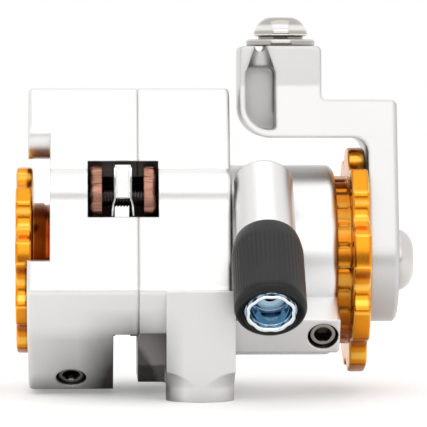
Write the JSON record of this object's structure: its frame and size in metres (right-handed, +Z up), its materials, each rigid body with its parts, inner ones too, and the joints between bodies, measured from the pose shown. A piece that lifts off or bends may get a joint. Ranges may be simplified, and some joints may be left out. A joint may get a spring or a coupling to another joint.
{
  "type": "bicycle disc brake caliper",
  "caption": "Cable-pulled ball-ramp disc brake caliper with foot mounts, scalloped pad adjusters, swinging lever and barrel adjuster.",
  "frame": {"origin": "middle of the line between the two foot bolt holes, on the mounting plane under the feet", "axes": "+X along the actuator axis from the small knob to the lever, +Y from the cable entry side to the rotor's centre side, +Z up from the feet to the cable clamp"},
  "size_m": [0.0655, 0.0606, 0.062],
  "materials": {
    "silver_anodised": "fine bead-blasted, satin",
    "bare_aluminium": "turned",
    "orange_anodised": "bright anodised",
    "copper_plate": "satin copper plating",
    "friction_lining": "rough, moulded",
    "bright_steel": "bright",
    "plated_steel": "nickel plating",
    "zinc_steel": "bluish zinc plating",
    "dark_steel": "black oxide",
    "bronze": "sintered",
    "black_rubber": "matt",
    "black_polymer": "moulded"
  },
  "bodies": {
    "frame_body": {"inboard_body": "silver_anodised", "outboard_body": "silver_anodised", "body_bolts": "dark_steel", "pad_pin": "bright_steel", "pad_spring": "bright_steel", "inboard_set_screw": "plated_steel", "outboard_set_screw": "plated_steel", "inboard_plunger": "bright_steel", "outboard_plunger": "bright_steel", "inboard_detent_spring": "bright_steel", "outboard_detent_spring": "bright_steel"},
    "actuator_carrier": {"thrust_race": "bright_steel", "thrust_balls": "bright_steel"},
    "large_knob": {"outboard_knob": "orange_anodised", "spindle_bush": "bronze"},
    "lever": {"lever_arm": "silver_anodised", "spindle": "bright_steel", "turning_ramp": "bright_steel", "pivot_bolt": "plated_steel", "cable_bolt": "plated_steel", "cable_washer": "plated_steel", "return_spring": "bright_steel"},
    "outboard_pad": {"sliding_ramp": "bright_steel", "outboard_piston": "bare_aluminium", "piston_seal": "black_rubber", "outboard_pad_plate": "copper_plate", "outboard_pad_lining": "friction_lining"},
    "spacer": {"ball_spacer": "bronze"},
    "rolling_balls": {"ramp_balls": "bright_steel"},
    "inboard_pad": {"inboard_piston": "bare_aluminium", "inboard_pad_plate": "copper_plate", "inboard_pad_lining": "friction_lining"},
    "small_knob": {"inboard_knob": "orange_anodised"},
    "barrel_slide": {"barrel_washer": "black_polymer"},
    "barrel_sleeve": {"barrel_core": "zinc_steel", "barrel_grip": "black_rubber"}
  },
  "joints": [
    {"name": "outboard_adjust", "type": "slide", "parent": "frame_body", "child": "actuator_carrier", "axis": [-1, 0, 0], "range_m": [0, 0.0007]},
    {"name": "outboard_knob_turn", "type": "hinge", "parent": "actuator_carrier", "child": "large_knob", "pos_m": [0, 0, 0.0216], "axis": [-1, 0, 0], "range_deg": [0, 252.01]},
    {"name": "arm_swing", "type": "hinge", "parent": "actuator_carrier", "child": "lever", "pos_m": [0, 0, 0.0216], "axis": [1, 0, 0], "range_deg": [0, 22], "stiffness_Nm_per_rad": 0.15, "springref_deg": -20.05},
    {"name": "pad_press", "type": "slide", "parent": "actuator_carrier", "child": "outboard_pad", "axis": [-1, 0, 0], "range_m": [0, 0.0005601]},
    {"name": "spacer_follow", "type": "slide", "parent": "actuator_carrier", "child": "spacer", "axis": [-1, 0, 0], "range_m": [0, 0.0002801]},
    {"name": "ball_roll", "type": "hinge", "parent": "spacer", "child": "rolling_balls", "pos_m": [0, 0, 0.0216], "axis": [1, 0, 0], "range_deg": [0, 11]},
    {"name": "inboard_adjust", "type": "slide", "parent": "frame_body", "child": "inboard_pad", "axis": [1, 0, 0], "range_m": [0, 0.0007]},
    {"name": "inboard_knob_turn", "type": "hinge", "parent": "inboard_pad", "child": "small_knob", "pos_m": [0, 0, 0.0216], "axis": [1, 0, 0], "range_deg": [0, 252.01]},
    {"name": "barrel_travel", "type": "slide", "parent": "frame_body", "child": "barrel_slide", "axis": [0, -0.766, -0.6428], "range_m": [0, 0.0016]},
    {"name": "barrel_turn", "type": "hinge", "parent": "barrel_slide", "child": "barrel_sleeve", "pos_m": [0.01045, -0.035, 0.01508], "axis": [0, -0.766, -0.6428], "range_deg": [0, 720.01]}
  ],
  "couplings": [
    {"joint": "outboard_knob_turn", "follows": "outboard_adjust", "rad_per_m": 6283.2},
    {"joint": "pad_press", "follows": "arm_swing", "m_per_rad": 0.0014584},
    {"joint": "spacer_follow", "follows": "arm_swing", "m_per_rad": 0.00072922},
    {"joint": "ball_roll", "follows": "arm_swing", "ratio": 0.5},
    {"joint": "inboard_knob_turn", "follows": "inboard_adjust", "rad_per_m": 6283.2},
    {"joint": "barrel_turn", "follows": "barrel_travel", "rad_per_m": 7854}
  ]
}
